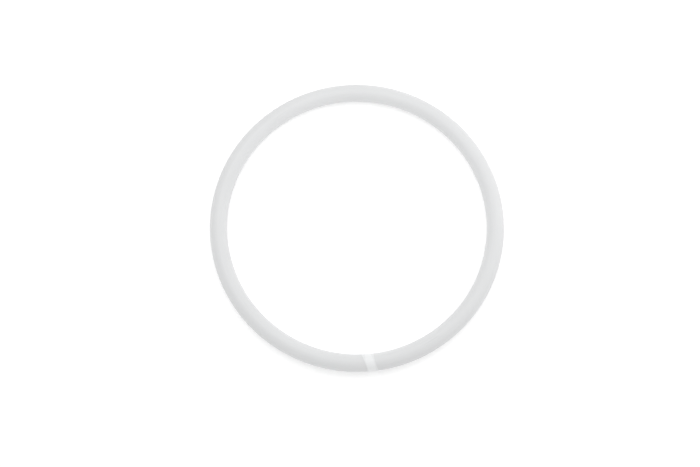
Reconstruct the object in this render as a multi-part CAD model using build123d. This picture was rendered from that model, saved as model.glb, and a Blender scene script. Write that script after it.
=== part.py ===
from build123d import *

import os
from math import degrees, pi

# A rhythmic gymnastics hoop: one plastic tube bent into a ring, whose two ends are pushed onto a plug,
# stapled to it and taped over.
# The hoop lies flat. The origin is the centre of the ring, on the surface that it lies on, and +Z is up.
# The seam between the two ends of the tube is at -Y. Left and right are as seen from above with the seam
# nearest, so left is -X. Sizes are in millimetres. A place along the tube is measured from the seam along
# the middle of the tube, and is positive to the right.

# Ring
inner_diameter = 450.0  # the clear opening that the gymnast passes through
tube_diameter = 30.0
tube_wall = 2.0
seam_gap = 0.4  # between the two cut ends

# Tape over the seam: a strip wound about one and a half times round it, at a slant. Its two turns lie nearly
# on each other, and are furthest apart on the inner side.
tape_thickness = 0.2
tape_layers = 2
tape_clearance = 0.02
tape_left_inner = 14.4  # how far it reaches to the left of the seam, on the inner side of the ring
tape_left_outer = 4.4
tape_right_inner = 5.4
tape_right_outer = 11.2

# Staples, on the inner side of the ring, one each side of the tape. Their crowns are driven in flush.
staple_wire = 1.0
staple_crown = 10.0  # between the middles of the two legs
staple_beyond_tape = 4.0
staple_bend = 0.05  # radius inside the two bends
staple_sink = 0.1  # plastic surface above the middle of the crown
staple_tip_cover = 0.8  # plug left between a leg's tip and the plug's bore
staple_clearance = 0.03  # between a staple and the plastic that it pushes aside

# Plug inside the two ends
plug_beyond_staples = 12.0
plug_clearance = 0.05  # radial, between the ribs and the bore of the tube
plug_wall = 3.6  # between the ribs
plug_lead = 1.5  # chamfer that guides the tube onto the plug
rib_height = 0.5
rib_width = 4.0
rib_pitch = 12.0
ribs_each_side = 3

# Sizes that follow from those above
tube_radius = tube_diameter / 2
bore_radius = tube_radius - tube_wall
inner_radius = inner_diameter / 2
centre_radius = inner_radius + tube_radius
outer_radius = centre_radius + tube_radius
once_round = 2 * pi * centre_radius
rib_radius = bore_radius - plug_clearance
plug_radius = rib_radius - rib_height
plug_bore_radius = plug_radius - plug_wall
wire_radius = staple_wire / 2
crown_half = staple_crown / 2 + wire_radius
crown_radius = inner_radius + staple_sink + wire_radius  # from the hoop's axis to the middle of the crown
groove_floor = crown_radius + wire_radius + staple_clearance
staple_tip = centre_radius - plug_bore_radius - staple_tip_cover  # from the hoop's axis to the tips
tape_reach = max(tape_left_inner, tape_right_inner)
staple_place = tape_reach + staple_beyond_tape + crown_half
plug_half = staple_place + crown_half + plug_beyond_staples


def at_place(place, shape):
    """Turns a shape made on the +X axis about the hoop's axis, to that place along the tube."""
    seam_angle = -90
    return Rot(Z=seam_angle + degrees(place / centre_radius)) * shape


def tube_arc(radius, bore, start, end):
    """A stretch of pipe, or of solid bar where bore is 0, that follows the ring from start to end."""
    middle = Plane.XZ * Pos(centre_radius, tube_radius)
    section = middle * Circle(radius)
    if bore:
        section -= middle * Circle(bore)
    return at_place(start, revolve(section, Axis.Z, degrees((end - start) / centre_radius)))


def cut_staple_holes(body):
    """Takes out of a body what the legs and the crowns of the two staples push aside."""
    above = inner_radius - staple_wire
    across = staple_wire + 2 * staple_clearance
    hole_depth = staple_tip + staple_clearance - above
    hole = Cylinder(across / 2, hole_depth)
    hole = Pos(above + hole_depth / 2, 0, tube_radius) * Rot(Y=90) * hole
    groove_depth = groove_floor - above
    groove = Box(groove_depth, 2 * (crown_half + staple_clearance), across)
    groove = Pos(above + groove_depth / 2, 0, tube_radius) * groove
    for place in (-staple_place, staple_place):
        body -= at_place(place, groove)
        for side in (-1, 1):
            body -= at_place(place, Pos(Y=side * staple_crown / 2) * hole)
    return body


def hoop_tube():
    """The whole tube, from one cut end round to the other."""
    return cut_staple_holes(tube_arc(tube_radius, bore_radius, seam_gap / 2, once_round - seam_gap / 2))


def joint_plug():
    """A hollow curved plug with ribs that grip the bore of the tube, and a chamfer at each end."""
    body = tube_arc(plug_radius, 0, -plug_half, plug_half)
    end_edges = body.faces().filter_by(GeomType.PLANE).edges()
    body = chamfer(end_edges, plug_lead)
    first_rib = plug_half - plug_lead - rib_width
    for side in (-1, 1):
        for number in range(ribs_each_side):
            middle = side * (first_rib - number * rib_pitch)
            body += tube_arc(rib_radius, 0, middle - rib_width / 2, middle + rib_width / 2)
    body -= tube_arc(plug_bore_radius, 0, -plug_half - plug_lead, plug_half + plug_lead)
    return cut_staple_holes(body)


def staple(place):
    """A U of round wire. Its crown lies along the ring's inner side, and its legs point outwards."""
    half = staple_crown / 2
    corners = [(staple_tip, -half), (crown_radius, -half), (crown_radius, half), (staple_tip, half)]
    path = Pos(Z=tube_radius) * FilletPolyline(*corners, radius=wire_radius + staple_bend)
    wire_end = Plane(origin=path @ 0, z_dir=path % 0)
    return at_place(place, sweep(wire_end * Circle(wire_radius), path=path))


def slant_plane(inner_place, outer_place):
    """The upright plane that crosses the ring's inner and outer sides at those two places."""
    at_inner = at_place(inner_place, Vertex(inner_radius, 0, 0)).center()
    at_outer = at_place(outer_place, Vertex(outer_radius, 0, 0)).center()
    across = at_outer - at_inner
    return Plane(origin=at_inner, x_dir=across, z_dir=across.cross(Vector(0, 0, 1)))


def joint_tape():
    """The wound strip as one thin shell round the tube, between its two slanted edges."""
    inside = tube_radius + tape_clearance
    outside = inside + tape_layers * tape_thickness
    reach = 2 * max(tape_left_inner, tape_left_outer, tape_right_inner, tape_right_outer)
    shell = tube_arc(outside, inside, -reach, reach)
    shell = split(shell, bisect_by=slant_plane(-tape_left_inner, -tape_left_outer), keep=Keep.BOTTOM)
    return split(shell, bisect_by=slant_plane(tape_right_inner, tape_right_outer), keep=Keep.TOP)


parts = {
    "hoop_tube": hoop_tube(),
    "joint_plug": joint_plug(),
    "staple_left": staple(-staple_place),
    "staple_right": staple(staple_place),
    "joint_tape": joint_tape(),
}
os.makedirs("parts", exist_ok=True)
for name, shape in parts.items():
    export_step(shape, f"parts/{name}.step")
    size = shape.bounding_box().size
    print(f"{name}: {len(shape.solids())} solid, {shape.volume:.1f} mm3,")
    print(f"    {size.X:.2f} x {size.Y:.2f} x {size.Z:.2f} mm")
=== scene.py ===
# %% [markdown]
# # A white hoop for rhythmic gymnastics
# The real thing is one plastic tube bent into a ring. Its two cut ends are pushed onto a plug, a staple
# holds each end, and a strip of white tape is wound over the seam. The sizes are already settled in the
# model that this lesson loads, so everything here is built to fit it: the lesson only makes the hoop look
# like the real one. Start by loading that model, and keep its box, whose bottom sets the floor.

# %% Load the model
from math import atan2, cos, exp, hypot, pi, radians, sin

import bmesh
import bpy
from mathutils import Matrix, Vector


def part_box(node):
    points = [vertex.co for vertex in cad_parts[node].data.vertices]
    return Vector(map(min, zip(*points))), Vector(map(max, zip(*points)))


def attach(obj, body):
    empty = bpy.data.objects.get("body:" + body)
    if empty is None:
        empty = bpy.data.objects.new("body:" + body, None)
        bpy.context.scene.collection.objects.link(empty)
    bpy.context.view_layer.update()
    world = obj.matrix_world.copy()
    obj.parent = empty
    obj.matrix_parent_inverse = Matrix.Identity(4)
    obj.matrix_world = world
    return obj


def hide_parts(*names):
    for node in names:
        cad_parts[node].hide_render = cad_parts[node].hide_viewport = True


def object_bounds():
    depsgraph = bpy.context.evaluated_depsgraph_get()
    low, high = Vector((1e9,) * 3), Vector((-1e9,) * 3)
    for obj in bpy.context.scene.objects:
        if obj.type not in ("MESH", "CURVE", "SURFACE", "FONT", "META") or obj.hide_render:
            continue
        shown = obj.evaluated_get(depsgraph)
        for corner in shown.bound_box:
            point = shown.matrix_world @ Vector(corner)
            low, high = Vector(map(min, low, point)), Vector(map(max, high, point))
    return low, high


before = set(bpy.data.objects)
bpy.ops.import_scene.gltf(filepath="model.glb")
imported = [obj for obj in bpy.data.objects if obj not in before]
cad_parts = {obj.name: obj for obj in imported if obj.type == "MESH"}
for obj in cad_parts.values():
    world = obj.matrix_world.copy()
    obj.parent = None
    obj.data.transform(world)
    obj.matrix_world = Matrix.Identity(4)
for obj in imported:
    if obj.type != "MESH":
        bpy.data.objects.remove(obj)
model_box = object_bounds()

# %% [markdown]
# ## Sizes that the pieces share
# A ring of round tube needs only two radii: the ring's, to the middle of the tube, and the tube's own.
# Both are read from the model. The lesson speaks of places on the tube the way a maker would: how far
# along the tube from the seam, which turn round its section (none on top, a quarter turn outside), and
# how far off its surface. One function turns those three into a point, so that no other cell has to do
# the geometry again.

MM = 0.001
ring_low, ring_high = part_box("hoop_tube")
tube_radius = (ring_high.z - ring_low.z) / 2
centre_radius = (ring_high.x - ring_low.x) / 2 - tube_radius
tube_wall = 2.0 * MM
seam_gap = 0.4 * MM
seam_angle = -pi / 2
print(f"ring {centre_radius / MM:.1f} mm to the middle of a tube of radius {tube_radius / MM:.1f} mm")


def on_tube(place, turn, lift=0.0):
    """The point at a place along the tube, a turn round its section, and a lift off its surface."""
    angle = seam_angle + place / centre_radius
    reach = centre_radius + (tube_radius + lift) * sin(turn)
    height = tube_radius + (tube_radius + lift) * cos(turn)
    return Vector((reach * cos(angle), reach * sin(angle), height))


def where_on_tube(point):
    """The other way round: the place, turn and lift of a point."""
    reach = hypot(point.x, point.y) - centre_radius
    height = point.z - tube_radius
    place = atan2(point.x, -point.y) * centre_radius
    return place, atan2(reach, height), hypot(reach, height) - tube_radius


def eased(value, low, high):
    """0 below low and 1 above high, with a smooth rise between them."""
    share = min(max((value - low) / (high - low), 0.0), 1.0)
    return share * share * (3 - 2 * share)


# %% [markdown]
# ## Camera
# The hoop is looked at from almost straight above, a little from the seam's side, through a longish lens
# as a catalogue picture would be. The camera is put on a sphere round the ring, and aimed a little to the
# left of the ring and below it, which puts the ring up and to the right of the middle of the frame.

# %% Place the camera
camera_azimuth, camera_elevation, camera_distance = -5.8, 77.5, 2.395
camera_roll, focal_length = radians(0.5), 71.0
aim_left, aim_below = 11.9 * MM, 14.3 * MM
ring_middle = Vector((0, 0, tube_radius))


def direction(azimuth, elevation):
    """The way from the ring to something round it. Azimuth 0 is over the seam, and 90 is on the right."""
    azimuth, elevation = radians(azimuth), radians(elevation)
    return Vector((sin(azimuth) * cos(elevation), -cos(azimuth) * cos(elevation), sin(elevation)))


lens = bpy.data.cameras.new("camera")
lens.lens = focal_length
camera = bpy.data.objects.new("camera", lens)
bpy.context.scene.collection.objects.link(camera)
bpy.context.scene.camera = camera
away = direction(camera_azimuth, camera_elevation)
looking = (-away).to_track_quat("-Z", "Y")
camera.location = ring_middle - looking @ Vector((aim_left, aim_below, 0)) + away * camera_distance
camera.rotation_euler = (looking @ Matrix.Rotation(camera_roll, 3, "Z").to_quaternion()).to_euler()
print(f"camera {camera_distance} m from the ring, {lens.lens} mm lens")

# %% [markdown]
# ## Floor and light
# A white hoop on a white ground only shows by its own soft shading, so the light has to be wide and even.
# The floor is a large pale sheet with a faint glow of its own, like a lit shooting table, which thins the
# shadow round the hoop. Most of the light comes from all over the sky. One soft box on the right and one
# high on the left brighten the far side of the ring a little, and leave its near side greyer.

# %% Make the floor
floor_size, floor_squares = 12.0, 4
floor_tone, floor_roughness, floor_glow = 0.9, 0.8, 0.23


def new_material(name, **values):
    """A material whose Principled shader has these constant values, with its node tree and the shader."""
    material = bpy.data.materials.new(name)
    material.use_nodes = True
    shader = material.node_tree.nodes["Principled BSDF"]
    sockets = {socket.name.lower().replace(" ", "_"): socket for socket in shader.inputs}
    for socket, value in values.items():
        sockets[socket].default_value = value
    return material, material.node_tree, shader


floor_paint, _, _ = new_material("pale_floor", base_color=(floor_tone, floor_tone, floor_tone, 1),
                                 roughness=floor_roughness, emission_color=(1, 1, 1, 1),
                                 emission_strength=floor_glow)
sheet = bmesh.new()
bmesh.ops.create_grid(sheet, x_segments=floor_squares, y_segments=floor_squares, size=floor_size / 2)
bmesh.ops.translate(sheet, verts=sheet.verts, vec=(0, 0, model_box[0].z))
floor_mesh = bpy.data.meshes.new("floor")
sheet.to_mesh(floor_mesh)
sheet.free()
floor_mesh.materials.append(floor_paint)
floor = bpy.data.objects.new("floor", floor_mesh)
bpy.context.scene.collection.objects.link(floor)
print(f"floor {floor_size} m wide at {model_box[0].z / MM:.2f} mm")

# %% Light the set
sky_strength = 0.765
box_distance, box_width = 1.2, 1.0

world = bpy.data.worlds.new("studio")
world.use_nodes = True
world.node_tree.nodes["Background"].inputs["Color"].default_value = (1, 1, 1, 1)
world.node_tree.nodes["Background"].inputs["Strength"].default_value = sky_strength
bpy.context.scene.world = world
bpy.context.scene.view_settings.view_transform = "Standard"


def soft_box(name, azimuth, elevation, power):
    """A square area light that looks at the ring from that side."""
    light = bpy.data.lights.new(name, "AREA")
    light.shape, light.size, light.energy = "SQUARE", box_width, power
    away = direction(azimuth, elevation)
    box = bpy.data.objects.new(name, light)
    box.location = ring_middle + away * box_distance
    box.rotation_euler = (-away).to_track_quat("-Z", "Y").to_euler()
    box.visible_camera = False
    bpy.context.scene.collection.objects.link(box)
    print(f"{name}: {power} W")


soft_box("right_box", azimuth=108, elevation=35, power=3.2)
soft_box("high_box", azimuth=220, elevation=70, power=3.6)

# %% [markdown]
# ## The tube
# The tube is extruded polyethylene, cut to length and bent round. A torus primitive would give its shape,
# but not its wall or its two cut ends. So its section is made first: a disc, inset by the wall, without
# its middle. The section is spun about the hoop's axis from one end of the tube to the other: in short
# steps near the seam, where the staples are driven in, and in longer ones round the rest. Spinning faces,
# and not only edges, leaves the tube closed at both ends.

# %% A helper for finished pieces
def make_piece(name, shape, material, stands_for, sharp_angle=40):
    """Turns a bmesh into an object that rides on the hoop, smooth except at its sharp edges."""
    mesh = bpy.data.meshes.new(name)
    shape.to_mesh(mesh)
    shape.free()
    mesh.shade_smooth()
    mesh.set_sharp_from_angle(angle=radians(sharp_angle))
    mesh.materials.append(material)
    made = bpy.data.objects.new(name, mesh)
    bpy.context.scene.collection.objects.link(made)
    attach(made, "root")
    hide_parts(stands_for)
    print(f"{name}: {sum(len(face.vertices) - 2 for face in mesh.polygons)} triangles")


# %% Spin the tube's section round the hoop
once_round = 2 * pi * centre_radius
fine_stretch, fine_step = 34.0 * MM, 0.75 * MM
coarse_step = 5.0 * MM
section_segments = 84
end_bevel = 0.15 * MM


def describe(name, shape):
    """Prints whether a shape is closed, and its volume, which is negative if its faces point inwards."""
    open_edges = sum(not edge.is_manifold for edge in shape.edges)
    print(f"{name}: {open_edges} open edges, {shape.calc_volume(signed=True) / MM ** 3:.1f} cubic mm")


tube = bmesh.new()
upright = (Matrix.Rotation(seam_angle + seam_gap / 2 / centre_radius, 4, "Z")
           @ Matrix.Translation((centre_radius, 0, tube_radius)) @ Matrix.Rotation(pi / 2, 4, "X"))
bmesh.ops.create_circle(tube, cap_ends=True, segments=section_segments, radius=tube_radius, matrix=upright)
middle = tube.faces[:]
bmesh.ops.inset_individual(tube, faces=middle, thickness=tube_wall, use_even_offset=True)
bmesh.ops.delete(tube, geom=middle, context="FACES")
first_end = tube.faces[:]
section = tube.verts[:] + tube.edges[:] + first_end
stretches = ((fine_stretch, fine_step), (once_round - seam_gap - 2 * fine_stretch, coarse_step),
             (fine_stretch, fine_step))
for length, step in stretches:
    spun = bmesh.ops.spin(tube, geom=section, axis=(0, 0, 1), cent=(0, 0, 0), use_merge=False,
                          angle=length / centre_radius, steps=round(length / step))
    section = spun["geom_last"]
cut_faces = set(first_end) | {part for part in section if isinstance(part, bmesh.types.BMFace)}
rims = {edge for face in cut_faces for edge in face.edges if not cut_faces.issuperset(edge.link_faces)}
bmesh.ops.bevel(tube, geom=list(rims), offset=end_bevel, offset_type="OFFSET", affect="EDGES", segments=2,
                profile=0.5, material=-1)
bmesh.ops.recalc_face_normals(tube, faces=tube.faces)
describe("tube", tube)

# %% [markdown]
# ## Grooves where the staples bite in
# A staple gun drives the crown in flush, so it beds into the soft plastic and drags the skin down beside
# it. A boolean would cut a clean slot, which looks machined. Instead the skin round each crown is cut
# into small faces and pressed in: deep under the crown, with a round shoulder on each side of it.

# %% Find the two staples
staple_wire, staple_crown = 1.0 * MM, 10.0 * MM
staple_sink, staple_clearance = 0.1 * MM, 0.03 * MM
inner_side = -pi / 2


def middle_of(node):
    """The place along the tube of the middle of one of the model's pieces."""
    low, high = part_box(node)
    return where_on_tube((low + high) / 2)[0]


staple_places = {name: middle_of(name) for name in ("staple_left", "staple_right")}
leg_spread = staple_crown / 2 * centre_radius / (centre_radius - tube_radius)
crowns = [[on_tube(place + side * leg_spread, inner_side) for side in (-1, 1)]
          for place in staple_places.values()]
print("staples at", [f"{place / MM:.1f} mm" for place in staple_places.values()])


def off_crown(point):
    """How far a point is from the line that runs along the nearer crown."""
    gaps = []
    for first, last in crowns:
        along = last - first
        share = min(max((point - first).dot(along) / along.length_squared, 0.0), 1.0)
        gaps.append((point - first.lerp(last, share)).length)
    return min(gaps)


# %% Press the grooves in
groove_depth = staple_sink + staple_wire + staple_clearance
groove_floor, groove_top = 0.42 * MM, 0.74 * MM
shoulder_depth, shoulder_reach = 0.2 * MM, 1.7 * MM
groove_cuts = 5


def is_near(point, reach):
    """Whether a point is on the outside of the tube, and within that reach of a crown."""
    # The first test only saves time: it leaves out the rest of the ring.
    return (point.y < -centre_radius / 2 and off_crown(point) < reach
            and where_on_tube(point)[2] > -tube_wall / 2)


near = [face for face in tube.faces if is_near(face.calc_center_median(), shoulder_reach + MM)]
bmesh.ops.subdivide_edges(tube, edges=list({edge for face in near for edge in face.edges}), cuts=groove_cuts,
                          use_grid_fill=True)
bmesh.ops.poke(tube, faces=[face for face in tube.faces if len(face.verts) > 4])
pressed = 0
for vert in tube.verts:
    if is_near(vert.co, shoulder_reach):
        gap = off_crown(vert.co)
        place, turn, _ = where_on_tube(vert.co)
        depth = groove_depth * (1 - eased(gap, groove_floor, groove_top))
        depth = max(depth, shoulder_depth * (1 - eased(gap, 0, shoulder_reach)))
        vert.co = on_tube(place, turn, -depth)
        pressed += 1
print(f"grooves: {pressed} points pressed in, {groove_depth / MM:.2f} mm at the deepest")

# %% [markdown]
# ## White polyethylene
# Up close the plastic is milky: a little light goes in and comes out nearby, so the shader gets some
# subsurface scattering. Its white is a little cool. The extruder's die leaves fine lines that run along
# the tube. A pattern that keeps to the tube needs coordinates that follow it, so a few math nodes work
# out the distance round the ring and the direction round the section from the Object coordinates. Nothing
# has to be unwrapped.

# %% Nodes that the materials share
def add(tree, kind, **settings):
    """A node with some settings; names that the node doesn't have are taken as its sockets."""
    node = tree.nodes.new(kind)
    for name, value in settings.items():
        if hasattr(node, name):
            setattr(node, name, value)
        else:
            node.inputs[name.replace("_", " ")].default_value = value
    return node


def maths(tree, operation, *values):
    """A Math node. Each value is a socket or a number."""
    node = add(tree, "ShaderNodeMath", operation=operation)
    for socket, value in zip(node.inputs, values):
        if isinstance(value, (int, float)):
            socket.default_value = value
        else:
            tree.links.new(value, socket)
    return node.outputs[0]


def object_place(tree):
    """The point's own place, in metres."""
    return add(tree, "ShaderNodeTexCoord").outputs["Object"]


def stretched(tree, vector, scale):
    """The vector with each of its parts multiplied."""
    mapping = add(tree, "ShaderNodeMapping", Scale=scale)
    tree.links.new(vector, mapping.inputs["Vector"])
    return mapping.outputs[0]


def noise_at(tree, vector, scale, detail=3.0):
    """Soft noise between 0 and 1, with that many bumps to the metre."""
    texture = add(tree, "ShaderNodeTexNoise", Scale=scale, Detail=detail)
    tree.links.new(vector, texture.inputs["Vector"])
    return texture.outputs["Fac"]


def between(tree, value, low, high, start=0.0, end=1.0):
    """Maps start to end onto low to high."""
    node = add(tree, "ShaderNodeMapRange")
    for name, number in (("From Min", start), ("From Max", end), ("To Min", low), ("To Max", high)):
        node.inputs[name].default_value = number
    tree.links.new(value, node.inputs["Value"])
    return node.outputs[0]


def bump(tree, height, distance, after=None):
    """A Bump node for that height, laid over another one."""
    node = add(tree, "ShaderNodeBump", Distance=distance)
    tree.links.new(height, node.inputs["Height"])
    if after:
        tree.links.new(after, node.inputs["Normal"])
    return node.outputs[0]


def paint(tree, shader, tone, tint):
    """Gives the shader a grey that a pattern makes lighter and darker, with a tint."""
    colour = add(tree, "ShaderNodeCombineColor")
    for channel, share in zip(colour.inputs, tint):
        tree.links.new(maths(tree, "MULTIPLY", tone, share), channel)
    tree.links.new(colour.outputs[0], shader.inputs["Base Color"])


def finish(tree, shader, roughness, relief):
    """Links a pattern of roughness and a relief to the shader."""
    tree.links.new(roughness, shader.inputs["Roughness"])
    tree.links.new(relief, shader.inputs["Normal"])


# %% Coordinates that follow the tube
def tube_coordinates(tree):
    """A vector that follows the tube: X out from its middle, Y up from it, Z along it, all in metres."""
    split = add(tree, "ShaderNodeSeparateXYZ")
    tree.links.new(object_place(tree), split.inputs[0])
    x, y, z = split.outputs
    squares = maths(tree, "ADD", maths(tree, "MULTIPLY", x, x), maths(tree, "MULTIPLY", y, y))
    reach = maths(tree, "SQRT", squares)
    joined = add(tree, "ShaderNodeCombineXYZ")
    parts = (maths(tree, "SUBTRACT", reach, centre_radius), maths(tree, "SUBTRACT", z, tube_radius),
             maths(tree, "MULTIPLY", maths(tree, "ARCTAN2", x, y), centre_radius))
    for value, socket in zip(parts, joined.inputs):
        tree.links.new(value, socket)
    return joined.outputs[0]


# %% Mix the tube's plastic
die_scale, grain_scale, cloud_scale, scuff_scale, scratch_scale = 900, 1600, 9, 60, 260
die_height, grain_height, scratch_depth = 0.05 * MM, 0.012 * MM, 0.03 * MM
die_stretch, scratch_stretch = (1, 1, 0.004), (1, 1, 0.05)
scratch_from, scratch_to = 0.66, 0.72
tube_tones, die_tone, scratch_tone = (0.70, 0.74), 0.016, 0.03
tube_tint, tube_roughness = (0.992, 1.0, 1.006), (0.36, 0.58)

tube_plastic, tree, shader = new_material("milky_polyethylene", ior=1.5, specular_ior_level=0.4,
                                          subsurface_weight=0.12, subsurface_radius=(1, 1, 1),
                                          subsurface_scale=2.0 * MM)
follow = tube_coordinates(tree)
die_lines = noise_at(tree, stretched(tree, follow, die_stretch), die_scale)
clouds = noise_at(tree, follow, cloud_scale)
scuffs = noise_at(tree, follow, scuff_scale, detail=5)
scratches = between(tree, noise_at(tree, stretched(tree, follow, scratch_stretch), scratch_scale), 0, 1,
                    start=scratch_from, end=scratch_to)
tone = maths(tree, "ADD", between(tree, clouds, *tube_tones), between(tree, die_lines, -die_tone, die_tone))
tone = maths(tree, "SUBTRACT", tone, between(tree, scratches, 0, scratch_tone))
paint(tree, shader, tone, tube_tint)
relief = bump(tree, die_lines, die_height)
relief = bump(tree, noise_at(tree, follow, grain_scale), grain_height, after=relief)
relief = bump(tree, maths(tree, "SUBTRACT", 1, scratches), scratch_depth, after=relief)
finish(tree, shader, between(tree, scuffs, *tube_roughness), relief)
make_piece("white_tube", tube, tube_plastic, "hoop_tube")

# %% [markdown]
# ## The plug
# The plug is inside the tube, and only a look through the seam would show it. Its shape in the model is
# right, so it is kept as it is and only gets its own plastic: natural polypropylene, greyer and shinier
# than the tube.

# %% Mix the plug's plastic
flow_scale, flow_stretch = 140, (1, 1, 0.2)
moulded_scale, moulded_height = 900, 0.01 * MM
plug_tones, plug_tint, plug_roughness = (0.58, 0.65), (1.0, 1.0, 0.97), (0.24, 0.4)

plug_plastic, tree, shader = new_material("natural_polypropylene", ior=1.49, subsurface_weight=0.2,
                                          subsurface_radius=(1, 1, 1), subsurface_scale=1.5 * MM)
follow = tube_coordinates(tree)
flow = noise_at(tree, stretched(tree, follow, flow_stretch), flow_scale)
paint(tree, shader, between(tree, flow, *plug_tones), plug_tint)
relief = bump(tree, noise_at(tree, follow, moulded_scale), moulded_height)
finish(tree, shader, between(tree, flow, *plug_roughness), relief)
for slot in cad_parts["joint_plug"].material_slots:
    slot.material = plug_plastic
print("plug:", [slot.material.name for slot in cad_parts["joint_plug"].material_slots])

# %% [markdown]
# ## Staples
# A staple is one piece of galvanised wire bent twice. It is made as it is bent: a circle at the tip of
# one leg is pulled up the leg, spun round the first bend, pulled along the crown, spun round the second
# bend and pulled down the other leg. The tips are cut off slanting, like the real ones, and closed.

# %% Bend a staple
wire_radius, wire_segments = staple_wire / 2, 20
bend_radius, bend_steps = 0.55 * MM, 6
leg_length = 4.75 * MM
tip_slant, tip_cut = radians(35), 0.05 * MM


def pulled(shape, ring, way):
    """Pulls a ring of edges along, and returns the new ring."""
    made = bmesh.ops.extrude_edge_only(shape, edges=ring)["geom"]
    moved = [part for part in made if isinstance(part, bmesh.types.BMVert)]
    bmesh.ops.translate(shape, verts=moved, vec=way)
    return [part for part in made if isinstance(part, bmesh.types.BMEdge)
            and all(vert in moved for vert in part.verts)]


def bent(shape, ring, middle):
    """Spins a ring of edges a quarter turn about an upright line, and returns the new ring."""
    made = bmesh.ops.spin(shape, geom=ring, axis=(0, 0, -1), cent=middle, angle=pi / 2, steps=bend_steps,
                          use_merge=False)
    return [part for part in made["geom_last"] if isinstance(part, bmesh.types.BMEdge)]


def bend_staple(place):
    """A staple at that place along the tube. It is bent beside the hoop's X axis, then turned into place."""
    crown_x = centre_radius - tube_radius + staple_sink + wire_radius
    tip_x, half = crown_x + leg_length, staple_crown / 2
    straight_leg, straight_crown = leg_length - bend_radius, staple_crown - 2 * bend_radius
    shape = bmesh.new()
    start = Matrix.Translation((tip_x, -half, tube_radius)) @ Matrix.Rotation(pi / 2, 4, "Y")
    bmesh.ops.create_circle(shape, segments=wire_segments, radius=wire_radius, matrix=start)
    ring = pulled(shape, shape.edges[:], (-straight_leg, 0, 0))
    ring = bent(shape, ring, (crown_x + bend_radius, bend_radius - half, tube_radius))
    ring = pulled(shape, ring, (0, straight_crown, 0))
    ring = bent(shape, ring, (crown_x + bend_radius, half - bend_radius, tube_radius))
    pulled(shape, ring, (straight_leg, 0, 0))
    for side in (-1, 1):
        half_of_it = {vert for vert in shape.verts if side * vert.co.y > 0}
        parts = [part for part in shape.edges[:] + shape.faces[:] if half_of_it.issuperset(part.verts)]
        bmesh.ops.bisect_plane(shape, geom=list(half_of_it) + parts,
                               plane_co=(tip_x - tip_cut, side * (half + wire_radius), tube_radius),
                               plane_no=(cos(tip_slant), -side * sin(tip_slant), 0), clear_outer=True)
    bmesh.ops.holes_fill(shape, edges=[edge for edge in shape.edges if edge.is_boundary], sides=0)
    bmesh.ops.recalc_face_normals(shape, faces=shape.faces)
    bmesh.ops.rotate(shape, verts=shape.verts, cent=(0, 0, 0),
                     matrix=Matrix.Rotation(seam_angle + place / centre_radius, 3, "Z"))
    return shape


# %% Mix the galvanised steel, and make both staples
spangle_scale, drawn_scale, drawn_height = 900, 2500, 0.01 * MM
zinc_tones, zinc_tint, zinc_roughness = (0.60, 0.72), (0.985, 0.995, 1.0), (0.22, 0.46)

galvanised, tree, shader = new_material("galvanised_wire", metallic=1.0)
place_on = object_place(tree)
spangle = add(tree, "ShaderNodeTexVoronoi", Scale=spangle_scale)
tree.links.new(place_on, spangle.inputs["Vector"])
drawn = noise_at(tree, tube_coordinates(tree), drawn_scale)
paint(tree, shader, between(tree, spangle.outputs["Color"], *zinc_tones), zinc_tint)
finish(tree, shader, between(tree, drawn, *zinc_roughness), bump(tree, drawn, drawn_height))
for name, place in staple_places.items():
    staple = bend_staple(place)
    describe(name, staple)
    make_piece(f"steel_{name}", staple, galvanised, name)

# %% [markdown]
# ## The tape
# A strip of 15 mm vinyl is wound about one and a half times round the seam by hand. It starts low on the
# outside, goes over the top and down the inner side, under the tube, and over the top a second time, a
# few millimetres to the left of the first turn. It ends low on the inner side. It is made flat, as a fine
# grid, and every point of it is then laid on the tube. Where it crosses its own first turn it is lifted
# by its thickness.

# %% Lay out the strip's path
tape_width, tape_thickness, tape_gap = 15.0 * MM, 0.18 * MM, 0.02 * MM
tape_start, tape_turn = radians(100), radians(565)
start_place = 7.2 * MM
drifts = ((-7.7 * MM, radians(-40), radians(140)), (1.7 * MM, radians(180), radians(350)),
          (-9.5 * MM, radians(400), radians(570)))


def strip_place(wound):
    """Where the strip's middle is along the tube, after it has been wound by that angle."""
    return start_place + sum(shift * eased(wound, low, high) for shift, low, high in drifts)


def strip_slant(wound):
    """The angle between the strip and the tube's section there."""
    step = 0.01
    return atan2(strip_place(wound + step) - strip_place(wound - step), 2 * step * tube_radius)


print(f"strip: {tape_turn * tube_radius / MM:.0f} mm round the tube")

# %% [markdown]
# The second turn lies partly on the first and partly on the tube, with a small slope over the first one's
# edge. On the inner side of the ring the strip has less room than its own length, so its edges rise in
# small puckers, and a corner of its free end stands off a little. Over the seam it sinks into the gap.

# %% Say how high the strip lies
edge_slope, start_slope = 0.5 * MM, radians(3)
pucker_height, pucker_length = 0.12 * MM, 4.2 * MM
pucker_lean, pucker_wander, wander_length = 2.5, 1.3, 7.0 * MM
corner_lift, corner_reach = 0.5 * MM, 7.0 * MM
seam_dip, seam_width = 0.07 * MM, 0.25 * MM


def under_layer(place, wound):
    """1 where the strip's first turn lies under this spot of the second, 0 where it doesn't."""
    before = wound - 2 * pi
    if before < -start_slope:
        return 0.0
    inside = tape_width / 2 / cos(strip_slant(before)) - abs(place - strip_place(before))
    return eased(inside, -edge_slope, 0) * eased(before, -start_slope, 0)


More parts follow.
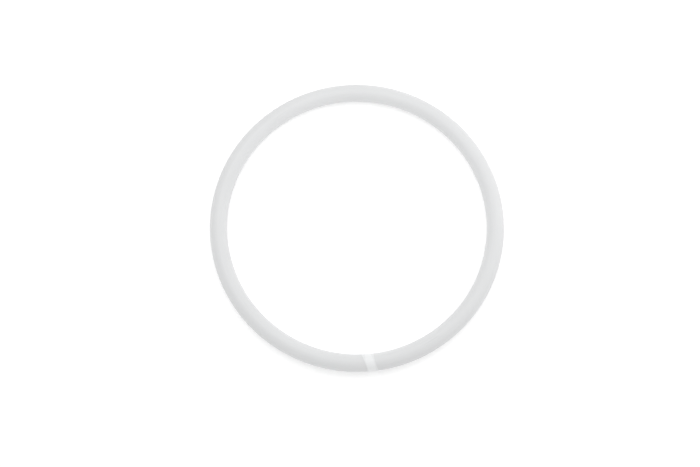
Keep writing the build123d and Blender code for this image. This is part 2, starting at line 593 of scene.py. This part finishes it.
def tape_lift(place, along, across, layer):
    """How far the strip's underside is off the tube. Across runs from -1 to 1."""
    turn = tape_start - along / tube_radius
    wave = 2 * pi * along / pucker_length + pucker_lean * across + pucker_wander * sin(along / wander_length)
    pucker = pucker_height * (1 + sin(wave)) / 2 * max(0.0, -sin(turn)) ** 2 * abs(across) ** 3
    to_corner = hypot(tape_turn * tube_radius - along, (1 - across) * tape_width / 2)
    corner = corner_lift * max(0.0, 1 - to_corner / corner_reach) ** 2
    dip = seam_dip * exp(-((place / seam_width) ** 2)) * (1 - layer)
    return tape_gap + tape_thickness * layer + pucker + corner - dip


# %% Wind the strip round the tube
along_segments, across_segments = 250, 56
tape = bmesh.new()
tape.loops.layers.uv.new("strip")
lapped = tape.verts.layers.float.new("lapped")
# The flat grid is 1 by 1 round the origin. X runs along the strip, and Y across it.
bmesh.ops.create_grid(tape, x_segments=along_segments, y_segments=across_segments, size=0.5, calc_uvs=True)
for vert in tape.verts:
    across, wound = 2 * vert.co.y, (vert.co.x + 0.5) * tape_turn
    slant, aside = strip_slant(wound), across * tape_width / 2
    # A place is measured along the tube's middle, which is longer than its inner side and shorter than its
    # outer side.
    squeeze = 1 + tube_radius / centre_radius * sin(tape_start - wound)
    place = strip_place(wound) + aside * cos(slant) / squeeze
    reached = wound - aside * sin(slant) / tube_radius
    layer = under_layer(place, reached)
    vert[lapped] = layer
    vert.co = on_tube(place, tape_start - reached, tape_lift(place, wound * tube_radius, across, layer))
tape.normal_update()
bmesh.ops.solidify(tape, geom=tape.faces[:], thickness=tape_thickness)
describe("tape", tape)

# %% [markdown]
# One layer of the tape lets a little of the greyer tube through, and two layers are whiter. The grid kept
# in an attribute where it lies double, so the colour can follow that. The glue at the strip's edges holds
# a little dust, and the pull of winding leaves faint lines along the strip. Its own UV map places both.

# %% Mix the tape's vinyl
one_layer, two_layers = 0.79, 0.84
vinyl_tint, vinyl_roughness = (0.988, 1.0, 1.006), (0.3, 0.42)
edge_dust, dust_from, dust_scale = 0.1, 0.485, 500
pull_lines, pull_tone, pull_height = (4, 70, 1), 0.012, 0.03 * MM
patch_scale, patch_tone = 120, 0.012
gloss_scale, vinyl_scale, vinyl_height = 300, 1200, 0.01 * MM

vinyl, tree, shader = new_material("white_vinyl", ior=1.5, subsurface_weight=0.05,
                                   subsurface_radius=(1, 1, 1), subsurface_scale=0.5 * MM)
place_on = object_place(tree)
split = add(tree, "ShaderNodeSeparateXYZ")
strip_map = add(tree, "ShaderNodeUVMap", uv_map="strip").outputs[0]
tree.links.new(strip_map, split.inputs[0])
pulled_vinyl = noise_at(tree, stretched(tree, strip_map, pull_lines), 1)
from_middle = maths(tree, "ABSOLUTE", maths(tree, "SUBTRACT", split.outputs[1], 0.5))
dust = maths(tree, "MULTIPLY", between(tree, from_middle, 0, edge_dust, start=dust_from, end=0.5),
             noise_at(tree, place_on, dust_scale))
layers = add(tree, "ShaderNodeAttribute", attribute_name="lapped").outputs["Fac"]
tone = maths(tree, "ADD", between(tree, layers, one_layer, two_layers),
             between(tree, noise_at(tree, place_on, patch_scale), -patch_tone, patch_tone))
tone = maths(tree, "ADD", tone, between(tree, pulled_vinyl, -pull_tone, pull_tone))
paint(tree, shader, maths(tree, "SUBTRACT", tone, dust), vinyl_tint)
relief = bump(tree, noise_at(tree, place_on, vinyl_scale, detail=4), vinyl_height,
              after=bump(tree, pulled_vinyl, pull_height))
finish(tree, shader, between(tree, noise_at(tree, place_on, gloss_scale), *vinyl_roughness), relief)
make_piece("wound_tape", tape, vinyl, "joint_tape")
